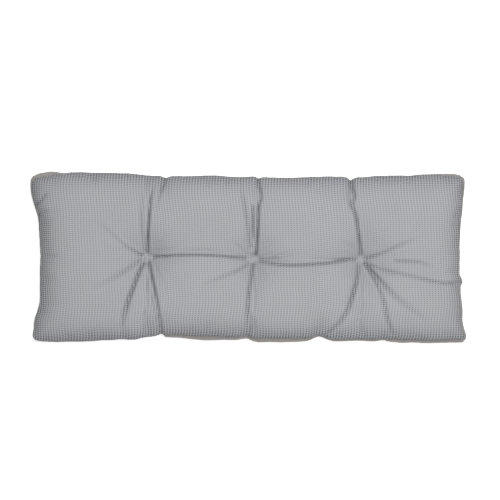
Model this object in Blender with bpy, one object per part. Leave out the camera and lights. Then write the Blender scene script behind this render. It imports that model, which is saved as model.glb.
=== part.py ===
"""Tufted bench cushion lying on its back, in metres, +Z up, its long side along X.

One grid of points makes the stuffed body. The top panel, the boxing band and the back
panel are thin sheets on that body's surface, and six thread tufts draw it in.
"""

import math

import bmesh
import bpy
from mathutils import Vector

# Driving dimensions
LENGTH = 1.202  # over the corners
DEPTH = 0.476  # over the corners
CELL_TOP = 0.100  # floor to the top of a puffed cell, cloth left out
TOP_SEAM = 0.062  # floor to the seam between the top panel and the band
BACK_SEAM = 0.017  # floor to the seam between the band and the back panel
TUFT_SPACING = 0.294
MIDDLE_TUFT = 0.015  # how far the middle tuft sits right of the corners' middle
TUFT_LINE = {"offset": -0.004, "slope": -0.0094}  # the line of tufts, almost along X

CLOTH = 0.0015  # thickness of every panel
GAP = 0.0003  # kept between neighbouring solids
BAND_BULGE = 0.0085  # how far the band swells past its two seams
SEAM_INSET = BAND_BULGE + CLOTH + GAP
CORNER_RADIUS = 0.030
TOP_ROUND = 0.105  # width of the rounded edge of the top
BACK_ROUND = 0.060  # width of the rounded edge of the back

COLUMNS_PER_CELL = 8
ROWS_PER_CELL = 7
CELLS_LONG = 4
CELLS_DEEP = 2
BAND_ROWS = 3

# How far the middle of each side is drawn in between its corners
DRAWN_IN = {"left": 0.028, "right": 0.016, "front": 0.013, "back": 0.020}

TUFT_FLOOR = 0.050  # body height under a tuft
TUFT_PULL = 0.042  # depth of the pull round a tuft, without its creases
TUFT_REACH = 0.050  # how fast that pull fades outwards
TUFT_FLAT = 0.017  # radius of the flat spot that a tuft sits on
MIDDLE_CHANNEL = {"depth": 0.009, "half_width": 0.034}

BACK_DIMPLE = {"depth": 0.013, "radius": 0.062}
THREAD = {"width": 0.013, "length": 0.020, "rise": 0.0045, "strands": 3}
BACK_THREAD = {"width": 0.011, "length": 0.016, "rise": 0.0035, "strands": 3}

TUFT_PLACES = [MIDDLE_TUFT + k * TUFT_SPACING for k in (-1, 0, 1)]

# Creases that run from a tuft to a long side: where they reach it, sideways of the tuft
CREASES = [
    # tuft, side, sideways, depth, half width
    (0, "back", 0.030, 0.013, 0.016),
    (0, "front", 0.044, 0.014, 0.016),
    (0, "front", -0.070, 0.009, 0.026),
    (1, "back", 0.010, 0.014, 0.016),
    (1, "front", -0.018, 0.013, 0.016),
    (2, "back", -0.026, 0.014, 0.016),
    (2, "front", -0.105, 0.009, 0.028),
    (2, "front", 0.080, 0.010, 0.022),
    (2, "front", 0.185, 0.007, 0.030),
]

# The grid's lines at each tuft bend with the crease that is sharpest there
LINE_BENDS = {"back": [0.030, 0.010, -0.026], "front": [0.044, -0.018, 0.0]}

TOP, BAND, BACK = range(3)
COLUMNS = COLUMNS_PER_CELL * CELLS_LONG
ROWS = ROWS_PER_CELL * CELLS_DEEP


def clear_scene():
    for old in list(bpy.data.objects):
        bpy.data.objects.remove(old)


def fabric(name, colour, roughness):
    material = bpy.data.materials.new(name)
    material.use_nodes = True
    shader = material.node_tree.nodes["Principled BSDF"]
    shader.inputs["Base Color"].default_value = (*colour, 1.0)
    shader.inputs["Roughness"].default_value = roughness
    shader.inputs["Metallic"].default_value = 0.0
    return material


def add_object(name, bm, material):
    mesh = bpy.data.meshes.new(name)
    bm.to_mesh(mesh)
    bm.free()
    mesh.materials.append(material)
    mesh.shade_smooth()
    obj = bpy.data.objects.new(name, mesh)
    bpy.context.collection.objects.link(obj)
    return obj


def cell_line(index, per_cell, cells):
    """A grid line's place from -1 to 1: lines crowd towards the tufts and the outer edges."""
    cell, step = divmod(index, per_cell)
    inside = (1 - math.cos(math.pi * step / per_cell)) / 2
    return 2 * (cell + inside) / cells - 1


def between(value, places, amounts):
    """The amount at value, straight between the given places."""
    for k in range(len(places) - 1):
        if value <= places[k + 1]:
            share = (value - places[k]) / (places[k + 1] - places[k])
            return amounts[k] + share * (amounts[k + 1] - amounts[k])
    return amounts[-1]


def tuft_line(x):
    return TUFT_LINE["offset"] + TUFT_LINE["slope"] * x


def to_tufts(x, y):
    """The distance to each tuft."""
    return [math.hypot(x - place, y - tuft_line(place)) for place in TUFT_PLACES]


def round_corner(x, y, half_x, half_y):
    """Moves points near a corner so that the outline turns it on an arc."""
    p = max(0.0, (abs(x) - half_x + CORNER_RADIUS) / CORNER_RADIUS)
    q = max(0.0, (abs(y) - half_y + CORNER_RADIUS) / CORNER_RADIUS)
    if p == 0.0 or q == 0.0:
        return x, y
    across = half_x - CORNER_RADIUS + CORNER_RADIUS * p * math.sqrt(1 - q * q / 2)
    along = half_y - CORNER_RADIUS + CORNER_RADIUS * q * math.sqrt(1 - p * p / 2)
    return math.copysign(across, x), math.copysign(along, y)


def half_width(full, side, along):
    """From the middle line to this side's seam, least halfway along the side."""
    waist = (1 + math.cos(math.pi * along)) / 2
    return full / 2 - SEAM_INSET - DRAWN_IN[side] * waist


def plan(u, v):
    """Where grid place (u, v), each from -1 to 1, lies seen from above."""
    side = "back" if v > 0 else "front"
    half_x = {end: half_width(LENGTH, end, v) for end in ("left", "right")}
    half_y = half_width(DEPTH, side, u)
    quarters = [-1, -0.5, 0, 0.5, 1]
    x = between(u, quarters, [-half_x["left"], *TUFT_PLACES, half_x["right"]])
    x, y = round_corner(x, v * half_y, half_x["right" if u > 0 else "left"], half_y)
    bend = between(u, quarters, [0, *LINE_BENDS[side], 0])
    return x + bend * abs(v), y + tuft_line(x) * (1 - abs(v))


def edge_rise(distance, width):
    """0 on the edge to 1 at width and beyond, along a quarter circle."""
    inward = min(max(distance / width, 0.0), 1.0)
    return math.sqrt(1 - (1 - inward) ** 2)


def crease_depth(x, y):
    total = 0.0
    for tuft, side, sideways, depth, half_width in CREASES:
        along = y / (DEPTH / 2) * (1 if side == "back" else -1)
        if along > 0:
            off = abs(x - TUFT_PLACES[tuft] - sideways * along)
            total += depth * math.exp(-off / half_width) * (1 - 0.35 * along)
    return total


def top_height(x, y, u, v):
    if min(to_tufts(x, y)) < TUFT_FLAT:
        return TUFT_FLOOR
    rise = edge_rise((1 - abs(u)) * LENGTH / 2, TOP_ROUND)
    rise *= edge_rise((1 - abs(v)) * DEPTH / 2, TOP_ROUND)
    pull = sum(math.exp((TUFT_FLAT - away) / TUFT_REACH) for away in to_tufts(x, y))
    sunk = TUFT_PULL * pull + crease_depth(x, y)
    if TUFT_PLACES[0] < x < TUFT_PLACES[-1]:
        off = abs(y - tuft_line(x))
        sunk += MIDDLE_CHANNEL["depth"] * math.exp(-off / MIDDLE_CHANNEL["half_width"])
    crown = CELL_TOP - TOP_SEAM
    # The creases fade to a small notch where the cloth is held by the seam.
    return TOP_SEAM + max(crown * rise - sunk * (0.1 + 0.9 * rise), TUFT_FLOOR - TOP_SEAM)


def back_height(x, y, u, v):
    rise = edge_rise((1 - abs(u)) * LENGTH / 2, BACK_ROUND)
    rise *= edge_rise((1 - abs(v)) * DEPTH / 2, BACK_ROUND)
    outward = (min(to_tufts(x, y)) - TUFT_FLAT) / (BACK_DIMPLE["radius"] - TUFT_FLAT)
    inward = min(max(outward, 0.0), 1.0)
    dimple = BACK_DIMPLE["depth"] * (1 - inward) ** 2
    return BACK_SEAM + (CLOTH + GAP - BACK_SEAM) * rise + dimple


def rim():
    """The grid's outer points in order, anticlockwise from above."""
    front = [(i, 0) for i in range(COLUMNS)]
    right = [(COLUMNS, j) for j in range(ROWS)]
    back = [(i, ROWS) for i in range(COLUMNS, 0, -1)]
    left = [(0, j) for j in range(ROWS, 0, -1)]
    return front + right + back + left


def body_surface():
    """The stuffed body's closed surface, each face marked as top, band or back."""
    bm = bmesh.new()
    top, back = {}, {}
    for i in range(COLUMNS + 1):
        for j in range(ROWS + 1):
            u = cell_line(i, COLUMNS_PER_CELL, CELLS_LONG)
            v = cell_line(j, ROWS_PER_CELL, CELLS_DEEP)
            x, y = plan(u, v)
            top[i, j] = bm.verts.new((x, y, top_height(x, y, u, v)))
            back[i, j] = bm.verts.new((x, y, back_height(x, y, u, v)))
    for i in range(COLUMNS):
        for j in range(ROWS):
            square = [(i, j), (i + 1, j), (i + 1, j + 1), (i, j + 1)]
            bm.faces.new([top[k] for k in square]).material_index = TOP
            bm.faces.new([back[k] for k in reversed(square)]).material_index = BACK
    ring = rim()
    rows = [[top[k] for k in ring]]
    for row in range(1, BAND_ROWS):
        share = row / BAND_ROWS
        rows.append([band_point(bm, ring, n, top, back, share) for n in range(len(ring))])
    rows.append([back[k] for k in ring])
    for upper, lower in zip(rows, rows[1:]):
        for n in range(len(ring)):
            m = (n + 1) % len(ring)
            face = bm.faces.new([upper[n], lower[n], lower[m], upper[m]])
            face.material_index = BAND
    bm.normal_update()
    return bm


def band_point(bm, ring, n, top, back, share):
    """A point of the band, swollen outwards, at this share of the way down."""
    seam_above = top[ring[n]].co
    seam_below = back[ring[n]].co
    before = top[ring[n - 1]].co
    after = top[ring[(n + 1) % len(ring)]].co
    along = after - before
    outward = Vector((along.y, -along.x, 0)).normalized()
    swell = BAND_BULGE * math.sin(math.pi * share) / math.sin(math.pi / BAND_ROWS)
    return bm.verts.new(seam_above.lerp(seam_below, share) + outward * swell)


def panel(name, surface, region, material):
    """One panel as a thin sheet, a gap clear of the body and of the panels beside it."""
    bm = surface.copy()
    outward = {vert: vert.normal * vert.calc_shell_factor() for vert in bm.verts}
    beside = [face for face in bm.faces if face.material_index != region]
    bmesh.ops.delete(bm, geom=beside, context="FACES")
    inset = {vert: towards_middle(vert) * GAP for vert in bm.verts if vert.is_boundary}
    rim_edges = [edge for edge in bm.edges if edge.is_boundary]
    outer_faces = list(bm.faces)
    inner = {}
    for vert in list(bm.verts):
        base = vert.co + inset.get(vert, Vector())
        inner[vert] = bm.verts.new(base + outward[vert] * GAP)
        vert.co = base + outward[vert] * (GAP + CLOTH)
        # The foot of the back panel is exactly flat on the floor.
        vert.co.z = max(vert.co.z, 0.0)
    for face in outer_faces:
        face.material_index = 0
        # The inner face starts at the same corner, so that it folds on the same diagonal.
        first, *others = face.verts
        bm.faces.new([inner[vert] for vert in (first, *reversed(others))])
    for edge in rim_edges:
        loop = edge.link_loops[0]
        start, end = loop.vert, loop.link_loop_next.vert
        bm.faces.new([end, start, inner[start], inner[end]])
    return add_object(name, bm, material)


def towards_middle(vert):
    """From a point on a panel's edge straight into the panel, of unit length."""
    lines = [edge.other_vert(vert) for edge in vert.link_edges if not edge.is_boundary]
    if lines:
        return (lines[0].co - vert.co).normalized()
    # A corner has no grid line inwards, so it goes towards its face's middle.
    middle = vert.link_faces[0].calc_center_median()
    return (middle - vert.co).normalized() * math.sqrt(2)


def tuft(name, size, material):
    """A bar tack of thick strands laid side by side along Y, flat underneath."""
    bm = bmesh.new()
    points, stations = 4 * size["strands"] + 1, 6
    loops = []
    for s in range(stations):
        along = -0.94 + 1.88 * s / (stations - 1)
        arch = math.sqrt(1 - along * along)
        loop = []
        for k in range(points):
            across = -1 + 2 * k / (points - 1)
            lobe = 0.72 + 0.28 * abs(math.sin(math.pi * size["strands"] * (across + 1) / 2))
            side = size["width"] / 2 * (0.72 + 0.28 * arch)
            height = size["rise"] * arch * lobe * math.sqrt(1.08 - across * across)
            loop.append(bm.verts.new((across * side, along * size["length"] / 2, height)))
        for end in (1, -1):
            loop.append(bm.verts.new((end * side, along * size["length"] / 2, 0)))
        loops.append(loop)
    for near, far in zip(loops, loops[1:]):
        for k in range(len(near)):
            m = (k + 1) % len(near)
            bm.faces.new([near[k], far[k], far[m], near[m]])
    bm.faces.new(loops[0])
    bm.faces.new(reversed(loops[-1]))
    bmesh.ops.recalc_face_normals(bm, faces=bm.faces)
    return add_object(name, bm, material)


def centre_on_floor(objects):
    """Puts the origin under the middle of the whole cushion."""
    bpy.context.view_layer.update()
    graph = bpy.context.evaluated_depsgraph_get()
    points = []
    for obj in objects:
        shape = obj.evaluated_get(graph)
        points += [obj.matrix_world @ vert.co for vert in shape.data.vertices]
    lowest = Vector([min(p[k] for p in points) for k in range(3)])
    highest = Vector([max(p[k] for p in points) for k in range(3)])
    middle = (lowest + highest) / 2
    for obj in objects:
        obj.location -= Vector((middle.x, middle.y, lowest.z))


def build():
    clear_scene()
    patterned = fabric("Relief weave cloth", (0.402, 0.407, 0.427), 0.9)
    plain = fabric("Plain weave cloth", (0.283, 0.275, 0.265), 0.9)
    thread = fabric("Tufting thread", (0.55, 0.55, 0.57), 0.8)

    surface = body_surface()
    objects = [
        panel("top_panel", surface, TOP, patterned),
        panel("side_band", surface, BAND, plain),
        panel("back_panel", surface, BACK, plain),
    ]
    for face in surface.faces:
        face.material_index = 0
    objects.append(add_object("filled_body", surface, plain))

    skin = CLOTH + 2 * GAP
    for number, place in enumerate(TUFT_PLACES, 1):
        front = tuft(f"tuft_{number}", THREAD, thread)
        front.location = (place, tuft_line(place), TUFT_FLOOR + skin)
        back = tuft(f"back_tuft_{number}", BACK_THREAD, thread)
        back.location = (place, tuft_line(place), CLOTH + GAP + BACK_DIMPLE["depth"] - skin)
        back.rotation_euler.x = math.pi
        objects += [front, back]
    centre_on_floor(objects)


build()
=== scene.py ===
import math

import bpy
import numpy as np
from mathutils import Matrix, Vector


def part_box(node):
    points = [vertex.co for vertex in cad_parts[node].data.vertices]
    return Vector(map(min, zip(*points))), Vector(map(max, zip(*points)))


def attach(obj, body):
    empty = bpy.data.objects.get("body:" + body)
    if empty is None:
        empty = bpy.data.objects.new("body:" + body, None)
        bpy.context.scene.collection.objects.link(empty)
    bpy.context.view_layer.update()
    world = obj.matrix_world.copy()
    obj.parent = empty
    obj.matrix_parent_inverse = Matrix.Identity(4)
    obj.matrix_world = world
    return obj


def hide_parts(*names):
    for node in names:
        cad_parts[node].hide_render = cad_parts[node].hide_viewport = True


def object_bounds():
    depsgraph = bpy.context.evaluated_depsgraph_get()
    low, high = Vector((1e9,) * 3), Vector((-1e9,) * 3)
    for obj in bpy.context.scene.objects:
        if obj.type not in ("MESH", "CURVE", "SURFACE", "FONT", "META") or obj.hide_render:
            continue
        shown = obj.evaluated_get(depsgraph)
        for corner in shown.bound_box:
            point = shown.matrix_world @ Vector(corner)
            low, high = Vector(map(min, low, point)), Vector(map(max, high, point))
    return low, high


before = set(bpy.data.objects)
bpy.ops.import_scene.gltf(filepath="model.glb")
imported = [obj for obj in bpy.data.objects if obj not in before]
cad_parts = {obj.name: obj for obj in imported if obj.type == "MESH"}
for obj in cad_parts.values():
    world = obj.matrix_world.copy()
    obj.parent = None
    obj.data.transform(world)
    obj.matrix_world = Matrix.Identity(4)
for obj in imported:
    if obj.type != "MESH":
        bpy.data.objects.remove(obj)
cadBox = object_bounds()

mm = 0.001
halfLength = (cadBox[1][0] - cadBox[0][0]) / 2
halfDepth = (cadBox[1][1] - cadBox[0][1]) / 2


# Colours, nodes and materials

def linearColour(hexCode):
    parts = [int(hexCode[k:k + 2], 16) / 255 for k in (1, 3, 5)]
    return tuple(p / 12.92 if p <= 0.04045 else ((p + 0.055) / 1.055) ** 2.4 for p in parts) + (1.0,)


def addNode(tree, kind, settings, inputs):
    # An input is either a value or another node's output to link from.
    node = tree.nodes.new(kind)
    for key, value in settings.items():
        setattr(node, key, value)
    for key, value in inputs.items():
        if isinstance(value, bpy.types.NodeSocket):
            tree.links.new(value, node.inputs[key])
        else:
            node.inputs[key].default_value = value
    return node


def newMaterial(name, roughness, sheen=0.0):
    material = bpy.data.materials.new(name)
    material.use_nodes = True
    shader = material.node_tree.nodes["Principled BSDF"]
    shader.inputs["Roughness"].default_value = roughness
    shader.inputs["IOR"].default_value = 1.5
    shader.inputs["Specular IOR Level"].default_value = 0.2
    shader.inputs["Sheen Weight"].default_value = sheen
    shader.inputs["Sheen Roughness"].default_value = 0.5
    return material, material.node_tree, shader


def waveScale(pitch):
    # A wave texture's bands repeat every pi / 10 divided by its scale.
    return math.pi / 10 / pitch


reliefWeave = {
    "name": "polyester relief weave",
    "rib": "#aeafb2",
    # painted shade: the dark colour of the weave's hollows
    "hollow": "#4f5056",
    "roughness": 0.9,
    "sheen": 0.08,
    "pitchLong": 7.8 * mm,  # from one hollow to the next along the cushion
    "pitchDeep": 5.4 * mm,  # and across it
    "relief": 1.0 * mm,
    "calmHollowShade": 0.6,  # painted shade in the hollows where the cloth lies smooth
    "bentHollowShade": 2.0,  # and where it bends, as stronger painted shade over edges and in creases
    "bentRibShade": 0.2,  # painted shade darkening the ribs where it bends
    "fleckScale": 330.0,
    "fleck": 0.26,
    "patchScale": 9.0,
    "patch": 0.12,
    "paler": 0.15,
}


def reliefWeaveMaterial(look):
    # Woven with thick ribs that leave a grid of small hollows, so it looks finely dotted; the hollows' dark
    # colour is painted shade.
    material, tree, shader = newMaterial(look["name"], look["roughness"], look["sheen"])
    place = addNode(tree, "ShaderNodeUVMap", {"uv_map": "cloth"}, {}).outputs["UV"]
    bendShade = addNode(tree, "ShaderNodeAttribute", {"attribute_name": "bendShade"}, {}).outputs["Fac"]
    long = addNode(tree, "ShaderNodeTexWave", {"bands_direction": "X"},
                   {"Vector": place, "Scale": waveScale(look["pitchLong"])})
    deep = addNode(tree, "ShaderNodeTexWave", {"bands_direction": "Y"},
                   {"Vector": place, "Scale": waveScale(look["pitchDeep"])})
    dots = addNode(tree, "ShaderNodeMath", {"operation": "MULTIPLY"},
                   {0: long.outputs["Fac"], 1: deep.outputs["Fac"]})
    # Painted shade: where the cloth bends over an edge or into a crease, its hollows are painted darker.
    hollowShading = addNode(tree, "ShaderNodeMapRange", {},
                      {"Value": bendShade, "To Min": look["calmHollowShade"], "To Max": look["bentHollowShade"]})
    shade = addNode(tree, "ShaderNodeMath", {"operation": "MULTIPLY"},
                    {0: dots.outputs[0], 1: hollowShading.outputs[0]})
    fleck = addNode(tree, "ShaderNodeTexNoise", {},
                    {"Vector": place, "Scale": look["fleckScale"], "Detail": 3.0})
    patch = addNode(tree, "ShaderNodeTexNoise", {},
                    {"Vector": place, "Scale": look["patchScale"], "Detail": 2.0})
    uneven = addNode(tree, "ShaderNodeMath", {"operation": "MULTIPLY_ADD"},
                     {0: fleck.outputs["Fac"], 1: look["fleck"], 2: -look["paler"]})
    uneven = addNode(tree, "ShaderNodeMath", {"operation": "MULTIPLY_ADD"},
                     {0: patch.outputs["Fac"], 1: look["patch"], 2: uneven.outputs[0]})
    # Painted shade: the ribs are painted darker where the cloth bends over the edge and into creases.
    uneven = addNode(tree, "ShaderNodeMath", {"operation": "MULTIPLY_ADD"},
                     {0: bendShade, 1: look["bentRibShade"], 2: uneven.outputs[0]})
    total = addNode(tree, "ShaderNodeMath", {"operation": "ADD", "use_clamp": True},
                    {0: shade.outputs[0], 1: uneven.outputs[0]})
    colour = addNode(tree, "ShaderNodeMix", {"data_type": "RGBA"},
                     {"Factor": total.outputs[0], 6: linearColour(look["rib"]),
                      7: linearColour(look["hollow"])})
    tree.links.new(colour.outputs[2], shader.inputs["Base Color"])
    height = addNode(tree, "ShaderNodeMath", {"operation": "MULTIPLY_ADD"},
                     {0: shade.outputs[0], 1: -1.0, 2: fleck.outputs["Fac"]})
    bump = addNode(tree, "ShaderNodeBump", {},
                   {"Strength": 0.5, "Distance": look["relief"], "Height": height.outputs[0]})
    tree.links.new(bump.outputs["Normal"], shader.inputs["Normal"])
    return material


plainWeave = {
    "name": "polyester plain weave",
    "thread": "#aaa8a3",
    "gap": "#7f7b77",
    "roughness": 0.9,
    "sheen": 0.08,
    "pitch": 1.8 * mm,  # real threads lie 0.5 mm apart, drawn coarser so that they show
    "waver": 0.4,
    "gapShade": 0.25,
    "paler": 0.3,
    "relief": 0.3 * mm,
    "slubScale": 150.0,
}


def plainWeaveMaterial(look):
    # Flat woven from fine threads, so it is smoother and a little warmer than the face.
    material, tree, shader = newMaterial(look["name"], look["roughness"], look["sheen"])
    place = addNode(tree, "ShaderNodeUVMap", {"uv_map": "cloth"}, {}).outputs["UV"]
    lay = {"Vector": place, "Scale": waveScale(look["pitch"]), "Distortion": look["waver"]}
    warp = addNode(tree, "ShaderNodeTexWave", {"bands_direction": "X"}, lay)
    weft = addNode(tree, "ShaderNodeTexWave", {"bands_direction": "Y"}, lay)
    threads = addNode(tree, "ShaderNodeMath", {"operation": "ADD"},
                      {0: warp.outputs["Fac"], 1: weft.outputs["Fac"]})
    slub = addNode(tree, "ShaderNodeTexNoise", {},
                   {"Vector": place, "Scale": look["slubScale"], "Detail": 3.0})
    shade = addNode(tree, "ShaderNodeMath", {"operation": "MULTIPLY_ADD"},
                    {0: threads.outputs[0], 1: look["gapShade"], 2: slub.outputs["Fac"]})
    shade = addNode(tree, "ShaderNodeMath", {"operation": "SUBTRACT", "use_clamp": True},
                    {0: shade.outputs[0], 1: look["paler"]})
    colour = addNode(tree, "ShaderNodeMix", {"data_type": "RGBA"},
                     {"Factor": shade.outputs[0], 6: linearColour(look["thread"]),
                      7: linearColour(look["gap"])})
    tree.links.new(colour.outputs[2], shader.inputs["Base Color"])
    bump = addNode(tree, "ShaderNodeBump", {},
                   {"Strength": 0.5, "Distance": look["relief"], "Height": threads.outputs[0]})
    tree.links.new(bump.outputs["Normal"], shader.inputs["Normal"])
    return material


spunThread = {
    "name": "twisted polyester thread",
    "pale": "#bcbdc0",
    "dark": "#9fa0a4",
    "roughness": 0.8,
    "sheen": 0.15,
    "fibreScale": 900.0,
    "relief": 0.2 * mm,
}


def threadMaterial(look):
    # Spun and twisted, paler than the cloth; its plies are modelled and its fibres are bump.
    material, tree, shader = newMaterial(look["name"], look["roughness"], look["sheen"])
    place = addNode(tree, "ShaderNodeTexCoord", {}, {}).outputs["Object"]
    fibre = addNode(tree, "ShaderNodeTexNoise", {},
                    {"Vector": place, "Scale": look["fibreScale"], "Detail": 2.0})
    colour = addNode(tree, "ShaderNodeMix", {"data_type": "RGBA"},
                     {"Factor": fibre.outputs["Fac"], 6: linearColour(look["pale"]),
                      7: linearColour(look["dark"])})
    tree.links.new(colour.outputs[2], shader.inputs["Base Color"])
    bump = addNode(tree, "ShaderNodeBump", {},
                   {"Strength": 0.6, "Distance": look["relief"], "Height": fibre.outputs["Fac"]})
    tree.links.new(bump.outputs["Normal"], shader.inputs["Normal"])
    return material


# The cushion's shape

cushion = {
    "topSeam": 61 * mm,  # floor to the seam round the face
    "backSeam": 17 * mm,
    "cellTop": 98 * mm,
    "topRound": 100 * mm,  # width of the face's rounded edge
    "backRound": 60 * mm,
    "tuck": 4 * mm,  # how far the seam lies in under the face's swollen edge
    "backTuck": 1.5 * mm,  # and the back's seam in under that one
    "swell": 6.2 * mm,
    "swellReach": 40 * mm,
    "cornerHold": 25 * mm,  # the edge swells less this close to a corner
    "pucker": 0.45 * mm,  # gathers along the seam
    "puckerPitch": 26 * mm,
    "tuftDepth": 40 * mm,
    "tuftReach": 44 * mm,
    "valleyDepth": 9 * mm,  # broad hollows between the cells
    "valleyWidth": 27 * mm,
    "valleyStart": 50 * mm,  # the one from tuft to tuft is full this far in from the outer tufts
    "seamHollow": 0.15,  # share of a hollow's depth that is left at the seam
    "unevenness": 1.5 * mm,
    "unevenPitch": 300 * mm,
    "backDimple": 13 * mm,
    "backDimpleReach": 62 * mm,
    "cloth": 1.2 * mm,
}

mesh = {
    "columns": 352,
    "rows": 136,
    "tuftCrowding": 0.45,  # lines crowd at the tufts and, more so, at the seam
    "edgeCrowding": 0.8,
    "middleShift": 14 * mm,  # brings the grid's middle lines to the middle tuft
}

# The outline: each side from corner to corner, in mm, as (along, outwards)
sides = {
    "back": [(-592, 226), (-580, 233), (-562, 237), (-546, 238), (-496, 233), (-397, 230), (-340, 229),
             (-274, 222), (-245, 221), (-228, 216), (-214, 220), (-150, 221), (-95, 223), (-40, 218),
             (16, 219), (27, 214), (38, 217), (110, 216), (200, 219), (250, 219), (271, 215), (281, 208),
             (292, 214), (315, 219), (360, 224), (444, 227), (527, 232), (565, 232), (582, 229), (592, 222)],
    "front": [(-590, -226), (-580, -230), (-560, -233), (-518, -234), (-447, -232), (-389, -229),
              (-340, -226), (-318, -227), (-282, -220), (-257, -217), (-239, -212), (-229, -220),
              (-183, -223), (-133, -229), (-34, -229), (-4, -225), (6, -229), (30, -235), (131, -234),
              (165, -230), (196, -220), (215, -226), (240, -232), (300, -231), (345, -232), (370, -229),
              (395, -235), (527, -237), (570, -236), (590, -234), (598, -228)],
    "left": [(226, -595), (213, -602), (200, -603), (186, -602), (164, -598), (142, -592), (120, -584),
             (95, -580), (60, -578), (20, -575), (-60, -576), (-120, -576), (-145, -582), (-168, -589),
             (-199, -593), (-212, -595), (-224, -593)],
    "right": [(222, 594), (210, 597), (190, 596), (160, 594), (125, 590), (90, 586), (20, 583),
              (-45, 583), (-58, 589), (-68, 591), (-80, 586), (-117, 589), (-170, 592), (-199, 597),
              (-215, 602), (-226, 600)],
}
# How far the band shows past the face, in mm along each side; below 0 the face hides it
bandShows = {
    "back": [(-592, 12), (-575, 19), (-550, 18), (-520, 10), (-497, 3), (-460, 0), (-300, -2), (280, -2),
             (320, 2), (440, 5), (507, 8), (557, 14), (592, 12)],
    "front": [(-590, 2), (-400, 1), (-250, 1), (-225, 8), (-125, 13), (-10, 12), (40, 15), (140, 13),
              (196, 9), (240, 11), (370, 11), (395, 15), (500, 14), (565, 17), (598, 15)],
    "left": [(-224, 2), (-120, 1), (60, 1), (120, 1), (180, 2), (226, 10)],
    "right": [(-226, 17), (-195, 8), (-80, 4), (-66, 10), (-55, 3), (20, 2), (100, 3), (190, 6), (222, 12)],
}
tufts = [{"face": f"tuft_{k}", "back": f"back_tuft_{k}"} for k in (1, 2, 3)]

# How a crease is shaped: depths are shares of its own depth, widths and places are in half widths
creaseShape = {
    "foldDepth": 1.5,
    "foldSharpness": 2.2,
    "valleyDepth": 0.2,
    "valleyWidth": 3.2,
    "lipHeight": 0.14,
    "lipPlace": 2.2,
    "seamShare": 0.6,  # how much of its depth is left at the seam
    "shadeSharpness": 1.7,
    "fullShadeDepth": 10 * mm,  # a crease this deep gets the full painted shade
    "reach": 7,  # nothing is felt of a crease beyond this
}
# Creases of the face, each a run of (x, y, depth, half width) in mm
creases = [
    # from the left tuft
    [(-279, 14, 8, 5), (-277, 48, 12, 4), (-273, 110, 11, 4), (-268, 172, 6, 5), (-262, 200, 0, 6)],
    [(-284, 20, 4, 8), (-292, 90, 3.5, 9), (-290, 160, 2, 10), (-285, 200, 0, 10)],
    [(-225, 228, 22, 4), (-237, 192, 12, 4), (-247, 160, 3, 7), (-255, 120, 0, 9)],
    [(-286, -14, 8, 7), (-296, -30, 10, 7), (-330, -122, 12, 7), (-344, -175, 6, 8), (-352, -215, 2, 10)],
    [(-275, -14, 9, 5), (-271, -29, 12, 4), (-252, -114, 12, 4), (-243, -180, 12, 4), (-237, -222, 20, 4)],
    [(-266, -90, 0, 4), (-263, -120, 5, 3), (-252, -175, 5, 3), (-248, -200, 2, 4)],
    [(-262, 0, 6, 6), (-241, 3, 9, 4), (-128, 6, 8, 3.5), (-43, 0, 7, 4), (-8, -3, 6, 6)],
    [(-292, 6, 6, 8), (-330, 27, 4, 6), (-386, 75, 2.5, 6), (-430, 110, 0, 8)],
    [(-296, -8, 5, 9), (-350, -44, 4, 10), (-408, -76, 2, 12), (-440, -90, 0, 12)],
    # nicks at the left end
    [(-545, 178, 0, 6), (-562, 166, 10, 5), (-588, 140, 15, 5)],
    [(-515, 128, 0, 5), (-540, 125, 7, 4), (-560, 124, 11, 4), (-580, 119, 14, 4)],
    # from the middle tuft
    [(17, 8, 8, 6), (21, 15, 11, 4), (25, 84, 12, 4), (27, 142, 10, 4), (34, 164, 10, 4), (27, 205, 11, 4),
     (25, 226, 20, 4)],
    [(12, 145, 0, 5), (12, 131, 7, 4), (12, 70, 7, 4), (14, 40, 2, 5)],
    [(-23, 205, 3, 7), (-7, 122, 5, 8), (8, 29, 5, 7)],
    [(12, -18, 8, 6), (8, -51, 10, 5), (1, -103, 12, 5), (-2, -144, 11, 5), (-4, -194, 6, 5),
     (-4, -222, 4, 5)],
    [(8, -150, 0, 4), (8, -169, 8, 3.5), (4, -208, 10, 3.5), (-2, -226, 9, 4)],
    [(0, -14, 5, 8), (-23, -30, 5, 8), (-109, -67, 2, 9), (-140, -75, 0, 10)],
    # the double crease between the middle and the right tuft
    [(30, -9, 6, 6), (51, -14, 9, 4), (115, -21, 10, 4), (213, -15, 9, 4), (271, -6, 7, 5), (296, -6, 6, 6)],
    [(30, -5, 5, 5), (55, -5, 5, 4), (89, -1, 3, 4), (130, 2, 0, 5)],
    # from the right tuft
    [(308, 8, 8, 6), (307, 29, 11, 4), (295, 109, 12, 5), (283, 147, 9, 5), (290, 166, 10, 5),
     (283, 197, 12, 5), (280, 222, 22, 5)],
    [(303, -20, 6, 9), (298, -59, 8, 9), (287, -98, 9, 9), (271, -144, 7, 10), (246, -183, 7, 9),
     (213, -212, 9, 6), (196, -228, 18, 5)],
    [(325, -24, 5, 7), (349, -65, 8, 6), (367, -114, 8, 6), (378, -161, 9, 6), (393, -208, 8, 6)],
    [(318, -16, 9, 7), (326, -23, 11, 7), (356, -59, 10, 9), (389, -95, 6, 11), (436, -136, 4, 12),
     (474, -166, 2, 12), (496, -195, 0, 13)],
    [(320, -3, 6, 8), (367, 12, 5, 7), (411, 32, 4, 8), (483, 62, 0, 10)],
    [(390, -8, 0, 8), (411, -10, 4, 7), (469, -14, 4, 7), (512, -33, 0, 8)],
    [(335, -22, 5, 8), (367, -34, 5, 7), (439, -51, 5, 6), (520, -69, 8, 4), (565, -70, 9, 4),
     (588, -66, 8, 4)],
]


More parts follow.
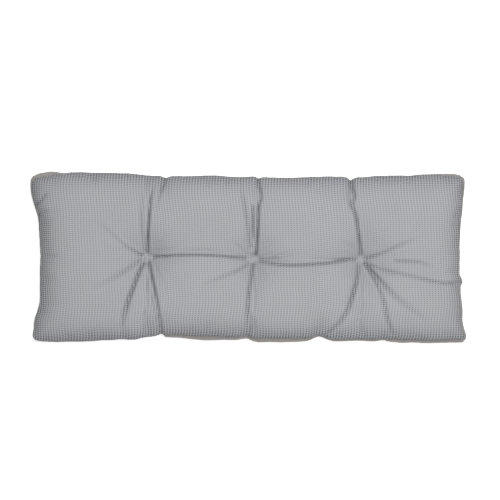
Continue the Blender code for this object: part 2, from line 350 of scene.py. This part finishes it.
def smoothTable(rows, at):
    # A curve through a table's rows that never overshoots them.
    rows = sorted(rows)
    x = np.array([row[0] for row in rows], float)
    y = np.array([row[1] for row in rows], float)
    step = np.diff(x)
    slope = np.diff(y) / step
    product = slope[:-1] * slope[1:]
    tangent = np.zeros_like(y)
    tangent[1:-1] = np.where(product > 0, 2 * product / (slope[:-1] + slope[1:] + 1e-12), 0)
    tangent[0], tangent[-1] = slope[0], slope[-1]
    k = np.clip(np.searchsorted(x, at) - 1, 0, len(step) - 1)
    t = (at - x[k]) / step[k]
    return ((1 + 2 * t) * (1 - t) ** 2 * y[k] + t * (1 - t) ** 2 * step[k] * tangent[k]
            + t * t * (3 - 2 * t) * y[k + 1] + t * t * (t - 1) * step[k] * tangent[k + 1])


def alongRun(run, steps=12):
    # A smooth path through a crease's rows.
    knots = np.array(run, float)
    ends = np.vstack([2 * knots[0] - knots[1], knots, 2 * knots[-1] - knots[-2]])
    t = np.linspace(0, 1, steps, endpoint=False)[:, None]
    parts = []
    for a, b, c, d in zip(ends, ends[1:], ends[2:], ends[3:]):
        parts.append(0.5 * (2 * b + (c - a) * t + (2 * a - 5 * b + 4 * c - d) * t**2
                            + (3 * b - a - 3 * c + d) * t**3))
    return np.vstack(parts + [knots[-1:]])


def creaseTroughs(x, y, runs):
    # How deep the creases are at each point, and how much painted shade the nearest one puts there, from 0
    # to 1.
    total, creaseShade = np.zeros_like(x), np.zeros_like(x)
    for run in runs:
        path = alongRun(run)
        spots = path[:, :2] * mm
        reach = creaseShape["reach"] * path[:, 3].max() * mm
        low, high = spots.min(0) - reach, spots.max(0) + reach
        close = (x > low[0]) & (x < high[0]) & (y > low[1]) & (y < high[1])
        px, py = x[close], y[close]
        away = np.full(px.shape, np.inf)
        depth, width = np.zeros_like(px), np.ones_like(px)
        for here, there in zip(path, path[1:]):
            start, step = here[:2] * mm, (there[:2] - here[:2]) * mm
            share = np.clip(((px - start[0]) * step[0] + (py - start[1]) * step[1]) / (step @ step), 0, 1)
            distance = np.hypot(px - start[0] - share * step[0], py - start[1] - share * step[1])
            closer = distance < away
            away = np.where(closer, distance, away)
            depth = np.where(closer, here[2] + share * (there[2] - here[2]), depth)
            width = np.where(closer, here[3] + share * (there[3] - here[3]), width)
        ratio = away / (np.maximum(width, 1) * mm)
        depth = np.maximum(depth, 0) * mm
        # A sharp fold at the bottom, a broad valley round it, and a raised lip between them.
        trough = creaseShape["foldDepth"] * np.exp(-(creaseShape["foldSharpness"] * ratio) ** 1.2)
        trough += creaseShape["valleyDepth"] * np.exp(-(ratio / creaseShape["valleyWidth"]) ** 2)
        trough -= creaseShape["lipHeight"] * np.exp(-(ratio - creaseShape["lipPlace"]) ** 2)
        total[close] += depth * trough
        # Painted shade: darker close to a crease, and more so for deep ones.
        near = np.exp(-(creaseShape["shadeSharpness"] * ratio) ** 2)
        near *= np.minimum(depth / creaseShape["fullShadeDepth"], 1)
        creaseShade[close] = np.maximum(creaseShade[close], near)
    return total, creaseShade


def quarterRound(distance, width):
    inward = np.clip(distance / width, 0, 1)
    return np.sqrt(1 - (1 - inward) ** 2)


def gridLines(count, cells):
    # Lines from -1 to 1, crowded at the tufts and closest together at the seam.
    t = np.linspace(0, cells, count + 1)
    crowding = np.where((t < 0.5) | (t > cells - 0.5), mesh["edgeCrowding"], mesh["tuftCrowding"])
    return (t - crowding * np.sin(2 * math.pi * t) / (2 * math.pi)) * 2 / cells - 1


def rimPoints(u, v):
    # The outline anticlockwise from the front left corner, and how far the band shows there.
    loop, shows = [], []
    for side, place in (("front", u[:-1]), ("right", v[:-1]), ("back", u[:0:-1]), ("left", v[:0:-1])):
        first, last = sorted((sides[side][0][0], sides[side][-1][0]))
        along = first + (last - first) * (place + 1) / 2
        if side in ("front", "back"):
            along = along + mesh["middleShift"] / mm * (1 - place**2)
        out = smoothTable(sides[side], along)
        loop.append(np.stack((along, out) if side in ("front", "back") else (out, along), 1))
        shows.append(smoothTable(bandShows[side], along))
    return np.vstack(loop) * mm, np.concatenate(shows) * mm


def smoothLoop(values, times):
    for _ in range(times):
        values = (np.roll(values, 1, 0) + 2 * values + np.roll(values, -1, 0)) / 4
    return values


def loopNormals(loop):
    along = np.roll(loop, -2, 0) - np.roll(loop, 2, 0)
    normal = smoothLoop(np.stack([along[:, 1], -along[:, 0]], 1), 8)
    return normal / np.linalg.norm(normal, axis=1, keepdims=True)


def fourSides(loop, u, v):
    # A loop's values along the front, right, back and left, each in the grid's own direction.
    nu, nv = len(u) - 1, len(v) - 1
    left = np.concatenate([loop[2 * nu + nv:], loop[:1]])[::-1]
    return loop[:nu + 1], loop[nu:nu + nv + 1], loop[nu + nv:2 * nu + nv + 1][::-1], left


def coonsPatch(loop, u, v):
    # Fills a loop of rim points with a grid of points.
    front, right, back, left = fourSides(loop, u, v)
    s = ((u + 1) / 2)[:, None, None]
    t = ((v + 1) / 2)[None, :, None]
    ruled = (1 - t) * front[:, None] + t * back[:, None] + (1 - s) * left[None] + s * right[None]
    corners = ((1 - s) * (1 - t) * front[0] + s * (1 - t) * front[-1]
               + (1 - s) * t * back[0] + s * t * back[-1])
    return ruled - corners


def swollenEdge(plan, outward, u, v):
    # Pushes the face's edge out past its seam, so that it overhangs the band.
    front, right, back, left = fourSides(outward, u, v)
    acrossU = {"left": (u + 1) * halfLength, "right": (1 - u) * halfLength}
    acrossV = {"front": (v + 1) * halfDepth, "back": (1 - v) * halfDepth}

    # The seam itself stays put; the push is full a few millimetres from it and then fades.
    def push(distance):
        return cushion["swell"] * (1 - np.exp(-distance / mm)) * np.exp(-distance / cushion["swellReach"])

    heldU = quarterRound((1 - abs(u)) * halfLength, cushion["cornerHold"])
    heldV = quarterRound((1 - abs(v)) * halfDepth, cushion["cornerHold"])
    moved = plan.copy()
    moved += front[:, None] * (heldU[:, None] * push(acrossV["front"])[None])[..., None]
    moved += back[:, None] * (heldU[:, None] * push(acrossV["back"])[None])[..., None]
    moved += left[None] * (push(acrossU["left"])[:, None] * heldV[None])[..., None]
    moved += right[None] * (push(acrossU["right"])[:, None] * heldV[None])[..., None]
    return moved


def slowWaves(x, y, seed, pitch):
    # Gentle unevenness, about -1 to 1, that keeps the cloth from looking machined.
    wave = np.random.default_rng(seed)
    total = np.zeros_like(x)
    for _ in range(7):
        angle, shift = wave.uniform(0, 2 * math.pi, 2)
        length = pitch * wave.uniform(0.6, 1.6)
        total += np.sin((x * math.cos(angle) + y * math.sin(angle)) * 2 * math.pi / length + shift)
    return total / 4


def tuftSpots(side):
    boxes = [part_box(tuft[side]) for tuft in tufts]
    return [((low[0] + high[0]) / 2, (low[1] + high[1]) / 2) for low, high in boxes]


def edgeDistance(u, v):
    return np.minimum((1 - abs(u))[:, None] * halfLength, (1 - abs(v))[None] * halfDepth)


def edgeRise(u, v, width):
    return (quarterRound((1 - abs(u))[:, None] * halfLength, width)
            * quarterRound((1 - abs(v))[None, :] * halfDepth, width))


def faceHeight(plan, u, v):
    # The stuffed face before its sharp creases.
    x, y = plan[..., 0], plan[..., 1]
    rise = edgeRise(u, v, cushion["topRound"])
    spots = tuftSpots("face")
    pull = np.zeros_like(x)
    for tx, ty in spots:
        pull += cushion["tuftDepth"] * np.exp(-np.hypot(x - tx, y - ty) / cushion["tuftReach"])
    # Broad valleys run from tuft to tuft, and from each tuft to the front and back seams.
    fromLeft = np.clip((x - spots[0][0]) / cushion["valleyStart"], 0, 1)
    fromRight = np.clip((spots[2][0] - x) / cushion["valleyStart"], 0, 1)
    off = y - np.interp(x, [s[0] for s in spots], [s[1] for s in spots])
    valley = fromLeft * fromRight * np.exp(-(abs(off) / cushion["valleyWidth"]) ** 1.4)
    for tx, ty in spots:
        valley = np.maximum(valley, np.exp(-(abs(x - tx) / cushion["valleyWidth"]) ** 1.4))
    sunk = pull + cushion["valleyDepth"] * valley
    sunk -= slowWaves(x, y, 3, cushion["unevenPitch"]) * cushion["unevenness"]
    # A little is added to the crown, as the valleys' tails lower the middles of the cells.
    crown = cushion["cellTop"] + cushion["valleyDepth"] * 0.2 - cushion["topSeam"]
    seamHollow = cushion["seamHollow"]
    return cushion["topSeam"] + crown * rise - sunk * (seamHollow + (1 - seamHollow) * rise)


def backHeight(plan, u, v):
    x, y = plan[..., 0], plan[..., 1]
    rise = edgeRise(u, v, cushion["backRound"])
    away = np.minimum.reduce([np.hypot(x - tx, y - ty) for tx, ty in tuftSpots("back")])
    dimple = cushion["backDimple"] * np.clip(1 - away / cushion["backDimpleReach"], 0, 1) ** 2
    return cushion["backSeam"] * (1 - rise) + dimple


def clothPlane(points):
    # Where each point of a bent sheet lay on the flat cloth, measured along its lines.
    across = np.linalg.norm(np.diff(points, axis=0), axis=2)
    deep = np.linalg.norm(np.diff(points, axis=1), axis=2)
    along = np.vstack([np.zeros((1, points.shape[1])), np.cumsum(across, 0)])
    down = np.hstack([np.zeros((points.shape[0], 1)), np.cumsum(deep, 1)])
    along -= along[points.shape[0] // 2]
    down -= down[:, [points.shape[1] // 2]]
    return np.stack([along, down], 2)


def gridQuads(values):
    # The four corner values of each of a grid's cells.
    return np.stack([values[:-1, :-1], values[1:, :-1], values[1:, 1:], values[:-1, 1:]], 2)


def aroundRim(values):
    # A grid's border values in the outline's order.
    return np.concatenate([values[:-1, 0], values[-1, :-1], values[:0:-1, -1], values[0, :0:-1]])


def newPiece(name, points, faces, material=None):
    data = bpy.data.meshes.new(name)
    data.from_pydata(points, [], faces)
    data.shade_smooth()
    if material:
        data.materials.append(material)
    piece = bpy.data.objects.new(name, data)
    bpy.context.scene.collection.objects.link(piece)
    return piece


def gridPiece(name, points, flat, material=None, closedLoop=False):
    # A sheet from a grid of points, with its place on the flat cloth kept for the weave.
    rows, columns = points.shape[:2]
    index = np.arange(rows * columns).reshape(rows, columns)
    if closedLoop:
        index = np.vstack([index, index[:1]])
        flat = np.concatenate([flat, flat[:1] + (flat[-1:] - flat[:1]) * [1, 0] * (rows + 1) / rows])
    piece = newPiece(name, points.reshape(-1, 3).tolist(), gridQuads(index).reshape(-1, 4).tolist(),
                     material)
    flatCorners = gridQuads(flat).reshape(-1).astype(np.float32)
    piece.data.uv_layers.new(name="cloth").data.foreach_set("uv", flatCorners)
    return piece


def thicken(piece):
    sheet = piece.modifiers.new("thickness", "SOLIDIFY")
    sheet.thickness = cushion["cloth"]
    sheet.offset = -1.0


def standFor(piece, node):
    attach(piece, "root")
    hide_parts(node)


# The fill's pressure swells the face: every second line of it is simulated as cloth

pressure = {
    "frames": 20,
    "mostMove": 9 * mm,
    "heldRadius": 11 * mm,  # the cloth doesn't move at the tufts
    "edgeFade": 18 * mm,  # and moves less this close to the seam
    "cloth": {
        "quality": 5,
        "mass": 0.15,
        "tension_stiffness": 25,
        "compression_stiffness": 25,
        "shear_stiffness": 8,
        "bending_stiffness": 0.6,
        "use_pressure": True,
        "uniform_pressure_force": 4.0,
        "shrink_min": -0.03,  # extra cloth, which wrinkles round the tufts
        "shrink_max": -0.03,
        "vertex_group_mass": "held",
    },
}


def everySecond(values):
    return values[::2, ::2]


def fillBetween(values):
    # Back from every second line to all of them, on smooth curves.
    for _ in range(2):
        ends = np.concatenate([2 * values[:1] - values[1:2], values, 2 * values[-1:] - values[-2:-1]])
        middle = (9 * (ends[1:-2] + ends[2:-1]) - ends[:-3] - ends[3:]) / 16
        filled = np.empty((2 * len(values) - 1,) + values.shape[1:])
        filled[::2], filled[1::2] = values, middle
        values = filled.swapaxes(0, 1)
    return values


def swellFace(face):
    coarse = everySecond(face)
    sheet = gridPiece("SwellingFace", coarse, coarse[..., :2])
    held = sheet.vertex_groups.new(name="held")
    still = np.ones(coarse.shape[:2], bool)
    still[1:-1, 1:-1] = False
    for tx, ty in tuftSpots("face"):
        still |= np.hypot(coarse[..., 0] - tx, coarse[..., 1] - ty) < pressure["heldRadius"]
    held.add(np.nonzero(still.ravel())[0].tolist(), 1.0, "REPLACE")
    cloth = sheet.modifiers.new("fill pressure", "CLOTH")
    for key, value in pressure["cloth"].items():
        setattr(cloth.settings, key, value)
    cloth.settings.effector_weights.gravity = 0
    cloth.point_cache.frame_start = 1
    cloth.point_cache.frame_end = pressure["frames"]
    scene = bpy.context.scene
    for number in range(1, pressure["frames"] + 1):
        scene.frame_set(number)
    shape = sheet.evaluated_get(bpy.context.evaluated_depsgraph_get()).data
    swollen = np.empty(len(shape.vertices) * 3, np.float32)
    shape.vertices.foreach_get("co", swollen)
    bpy.data.objects.remove(sheet)
    scene.frame_set(1)
    move = swollen.reshape(coarse.shape).astype(float) - coarse
    length = np.linalg.norm(move, axis=2, keepdims=True)
    print("fill pressure moves the face by up to", round(float(length.max()) / mm, 1), "mm")
    limit = pressure["mostMove"]
    move *= limit * np.tanh(length / limit) / np.maximum(length, 1e-9)
    fade = 1 - np.exp(-edgeDistance(u, v) / pressure["edgeFade"])
    return face + fillBetween(move) * fade[..., None]


# What all the pieces share: the materials, the lines of their grids, and the seam

reliefCloth = reliefWeaveMaterial(reliefWeave)
plainCloth = plainWeaveMaterial(plainWeave)
thread = threadMaterial(spunThread)
print("materials made")

u = gridLines(mesh["columns"], 4)
v = gridLines(mesh["rows"], 2)
outline, shows = rimPoints(u, v)
outward = loopNormals(outline)
shows = smoothLoop(shows, 4)
runLength = np.cumsum(np.linalg.norm(np.roll(outline, -1, 0) - outline, axis=1))
gathers = slowWaves(runLength, 0 * runLength, 5, cushion["puckerPitch"]) * cushion["pucker"]
inset = np.maximum(shows, 0) + cushion["tuck"]
seam = outline - outward * (inset + gathers)[:, None]
backSeam = seam - outward * cushion["backTuck"]

# The face

faceCloth = {
    "flat": (1.27, 0.53),  # as cut, in metres
    "tuftDraw": 7 * mm,  # how far a tuft draws the weave in
    "tuftDrawReach": 60 * mm,
    "tuftDrawCore": 6 * mm,
    "wander": 0.8 * mm,  # how far the weave strays from straight
    "wanderPitch": 120 * mm,
    "edgeShadeWidth": 19 * mm,  # painted shade where the cloth bends over the edge fades in about this width
    "edgeShadeStrength": 1.25,
    "creaseShadeShare": 0.55,  # how strong the painted shade of a full crease is, where 1 is full
}


def makeFace():
    plan = swollenEdge(coonsPatch(seam, u, v), outward, u, v)
    rise = edgeRise(u, v, cushion["topRound"])
    height = faceHeight(plan, u, v)
    # The weave follows the cloth over the rounded edge but not into each hollow.
    pillow = np.dstack([plan, cushion["topSeam"] + (cushion["cellTop"] - cushion["topSeam"]) * rise])
    flat = clothPlane(pillow)
    for tx, ty in tuftSpots("face"):
        away = plan - [tx, ty]
        distance = np.linalg.norm(away, axis=2, keepdims=True)
        draw = faceCloth["tuftDraw"] * np.exp(-distance / faceCloth["tuftDrawReach"])
        flat = flat + away / (distance + faceCloth["tuftDrawCore"]) * draw
    for axis, seed in ((0, 11), (1, 12)):
        waves = slowWaves(plan[..., 0], plan[..., 1], seed, faceCloth["wanderPitch"])
        flat[..., axis] += waves * faceCloth["wander"]
    face = np.dstack([plan, height])
    face = swellFace(face)
    troughs, creaseShade = creaseTroughs(face[..., 0], face[..., 1], creases)
    face[..., 2] -= troughs * (creaseShape["seamShare"] + (1 - creaseShape["seamShare"]) * rise)
    # Painted shade: the cloth is painted darker where it bends over the edge and into the creases; the
    # weave's colour reads this from the mesh.
    edgeShade = faceCloth["edgeShadeStrength"] * np.exp(-edgeDistance(u, v) / faceCloth["edgeShadeWidth"])
    bendShade = np.clip(np.maximum(creaseShade * faceCloth["creaseShadeShare"], edgeShade), 0, 1)
    piece = gridPiece("TopPanel", face, flat, reliefCloth)
    values = piece.data.attributes.new("bendShade", "FLOAT", "POINT")
    values.data.foreach_set("value", bendShade.reshape(-1).astype(np.float32))
    thicken(piece)
    standFor(piece, "top_panel")
    return face


face = makeFace()
print("face made")

# The back, which lies on the floor


def makeBack():
    plan = everySecond(coonsPatch(backSeam, u, v))
    back = np.dstack([plan, backHeight(plan, u[::2], v[::2])])[:, ::-1]
    piece = gridPiece("BackPanel", back, clothPlane(back), plainCloth)
    thicken(piece)
    standFor(piece, "back_panel")


makeBack()
print("back made")

# The band, sewn between the face and the back

bandCloth = {
    "flat": (0.05, 3.32),
    "rows": 18,
    "crumple": 0.8 * mm,
    "crumplePitch": 60 * mm,
}


def makeBand():
    share = np.linspace(0, 1, bandCloth["rows"] + 1)
    top = np.column_stack([seam, aroundRim(face[..., 2])])
    foot = np.column_stack([backSeam, np.full(len(backSeam), cushion["backSeam"])])
    band = top[:, None] * (1 - share)[None, :, None] + foot[:, None] * share[None, :, None]
    # It bellies out to the outline and crumples a little on the way down.
    belly = np.sin(math.pi * share) ** 0.7
    bulge = (cushion["tuck"] + shows)[:, None] * belly[None]
    waves = slowWaves(runLength[:, None] + 0 * share, band[..., 2], 7, bandCloth["crumplePitch"])
    crumple = waves * bandCloth["crumple"] * belly
    band[..., :2] += outward[:, None] * (bulge + crumple)[..., None]
    piece = gridPiece("SideBand", band[::-1], clothPlane(band)[::-1], plainCloth, closedLoop=True)
    thicken(piece)
    standFor(piece, "side_band")


makeBand()
print("band made")

# The fill, one closed form just inside the cover

fill = {
    "share": 0.7,
    "clearance": 3 * mm,
    "every": 4,  # it keeps every fourth line of the face
}


def makeFill():
    gap, every = fill["clearance"], fill["every"]
    deep = face[..., 2].copy()
    for axis in (0, 1):
        for _ in range(every):
            deep = np.minimum(deep, np.minimum(np.roll(deep, 1, axis), np.roll(deep, -1, axis)))
    plan = coonsPatch(seam - outward * gap, u, v)
    height = np.maximum(deep - gap, cushion["topSeam"] / 2)
    top = np.dstack([plan, height])[::every, ::every]
    under = np.dstack([plan, backHeight(plan, u, v) + gap])[::every, ::every]
    columns, rows = top.shape[:2]
    index = np.arange(columns * rows).reshape(columns, rows)
    quads = gridQuads(index).reshape(-1, 4)
    rim = aroundRim(index)
    following = np.roll(rim, -1)
    wall = np.stack([rim + index.size, following + index.size, following, rim], 1)
    points = np.vstack([top.reshape(-1, 3), under.reshape(-1, 3)])
    faces = np.vstack([quads, quads[:, ::-1] + index.size, wall])
    piece = newPiece("FilledBody", points.tolist(), faces.tolist(), plainCloth)
    piece.data.uv_layers.new(name="cloth")
    standFor(piece, "filled_body")


makeFill()
print("fill made")

# Thread tufts

tuftThread = {
    "strands": 6,
    "spread": 11 * mm,
    "span": 17 * mm,
    "rise": 2.4 * mm,
    "dive": 2.2 * mm,  # how far the strands' ends go into the cloth
    "stray": 0.5 * mm,
    "lean": 1.2 * mm,
    "ply": 0.75 * mm,
    "plies": 3,
    "twist": 5 * mm,  # a ply goes once round in this length
    "stations": 40,  # along a strand
    "around": 6,
}


def plyTube(core, upright, sideways, radius, around, start):
    # A tube round a path, as points and faces; its points are numbered from start.
    points, faces = [], []
    for k, middle in enumerate(core):
        for a in range(around):
            angle = 2 * math.pi * a / around
            points.append(middle + radius * (math.cos(angle) * upright[k] + math.sin(angle) * sideways[k]))
    for k in range(len(core) - 1):
        here, there = start + k * around, start + (k + 1) * around
        for a in range(around):
            b = (a + 1) % around
            faces.append([here + a, there + a, there + b, here + b])
    last = start + (len(core) - 1) * around
    faces.append([start + a for a in range(around)])
    faces.append([last + a for a in reversed(range(around))])
    return points, faces


def tuftPiece(name, node, look, seed, upward):
    # A bundle of plied threads laid side by side, in and out of the cloth.
    pick = np.random.default_rng(seed)
    low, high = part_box(node)
    middle = np.array([(low[0] + high[0]) / 2, (low[1] + high[1]) / 2, low[2] if upward else high[2]])
    t = np.linspace(-1, 1, look["stations"])
    points, faces = [], []
    for strand in range(look["strands"]):
        side = (strand / (look["strands"] - 1) - 0.5) * look["spread"] + pick.uniform(-1, 1) * look["stray"]
        outer = (2 * side / look["spread"]) ** 2
        reach = look["span"] / 2 * (1 - 0.25 * outer) * pick.uniform(0.9, 1.08)
        lift = look["rise"] * (1 - 0.35 * outer) * pick.uniform(0.85, 1.15)
        lean = pick.uniform(-1, 1) * look["lean"]
        across = side * (0.62 + 0.38 * np.cos(t * 1.4)) + lean * t
        along = reach * t * (1.1 - 0.1 * t**2)
        height = lift * (1 - np.abs(t) ** 2.6) * 1.25 - look["dive"] * np.abs(t) ** 8
        line = np.stack([across, along, height], 1)
        run = np.concatenate([[0], np.cumsum(np.linalg.norm(np.diff(line, axis=0), axis=1))])
        tangent = np.gradient(line, axis=0)
        tangent /= np.linalg.norm(tangent, axis=1, keepdims=True)
        sideways = np.cross(tangent, [1.0, 0, 0])
        sideways /= np.linalg.norm(sideways, axis=1, keepdims=True)
        upright = np.cross(sideways, tangent)
        for ply in range(look["plies"]):
            turn = 2 * math.pi * (run / look["twist"] + ply / look["plies"] + strand * 0.17)
            swing = np.cos(turn)[:, None] * upright + np.sin(turn)[:, None] * sideways
            core = line + look["ply"] * 0.95 * swing
            tube = plyTube(core, upright, sideways, look["ply"], look["around"], len(points))
            points += tube[0]
            faces += tube[1]
    points = np.array(points)
    if not upward:
        points *= [1, -1, -1]
    piece = newPiece(name, (points + middle).tolist(), faces, thread)
    standFor(piece, node)


for number, tuft in enumerate(tufts, 1):
    tuftPiece(f"Tuft{number}", tuft["face"], tuftThread, 20 + number, True)
    tuftPiece(f"BackTuft{number}", tuft["back"], tuftThread, 30 + number, False)
print("tufts made")

# Camera, floor and light

studio = {
    "cameraPlace": (0.0041, 0.0206, 6.0),
    "viewWidth": 1.375,  # width of the view at the height of the face's seam
    "sensor": 36,
    "floor": "#f2f2f2",
    "floorGlow": 0.6,
    "floorReach": 6,
    "skyStrength": 0.2,
    "boxEnergy": 115.0,
    "boxSize": (1.6, 0.9),
    "boxPlace": (0.35, 0.3, 3.5),
}


def makeCamera():
    data = bpy.data.cameras.new("Camera")
    data.sensor_width = studio["sensor"]
    distance = studio["cameraPlace"][2] - cushion["topSeam"]
    data.lens = studio["sensor"] * distance / studio["viewWidth"]
    camera = bpy.data.objects.new("Camera", data)
    camera.location = studio["cameraPlace"]
    bpy.context.scene.collection.objects.link(camera)
    bpy.context.scene.camera = camera


def makeFloor():
    # An opal light table: white acrylic lit a little from below, which keeps shadows pale.
    material, _, shader = newMaterial("opal acrylic", 0.9)
    shader.inputs["Base Color"].default_value = linearColour(studio["floor"])
    shader.inputs["Emission Color"].default_value = (1, 1, 1, 1)
    shader.inputs["Emission Strength"].default_value = studio["floorGlow"]
    reach = studio["floorReach"]
    corners = [(-reach, -reach, 0), (reach, -reach, 0), (reach, reach, 0), (-reach, reach, 0)]
    newPiece("Floor", corners, [(0, 1, 2, 3)], material)


def makeLight():
    world = bpy.data.worlds.new("Studio")
    world.use_nodes = True
    sky = world.node_tree.nodes["Background"]
    sky.inputs["Color"].default_value = (1, 1, 1, 1)
    sky.inputs["Strength"].default_value = studio["skyStrength"]
    bpy.context.scene.world = world
    lamp = bpy.data.lights.new("Softbox", "AREA")
    lamp.shape = "RECTANGLE"
    lamp.size, lamp.size_y = studio["boxSize"]
    lamp.energy = studio["boxEnergy"]
    softbox = bpy.data.objects.new("Softbox", lamp)
    softbox.location = studio["boxPlace"]
    x, y, z = studio["boxPlace"]
    softbox.rotation_euler = (-math.atan2(y, z), math.atan2(x, z), 0)  # aimed at the cushion
    bpy.context.scene.collection.objects.link(softbox)


makeCamera()
makeFloor()
makeLight()
bpy.context.scene.view_settings.view_transform = "Standard"
print("camera, floor and light placed")
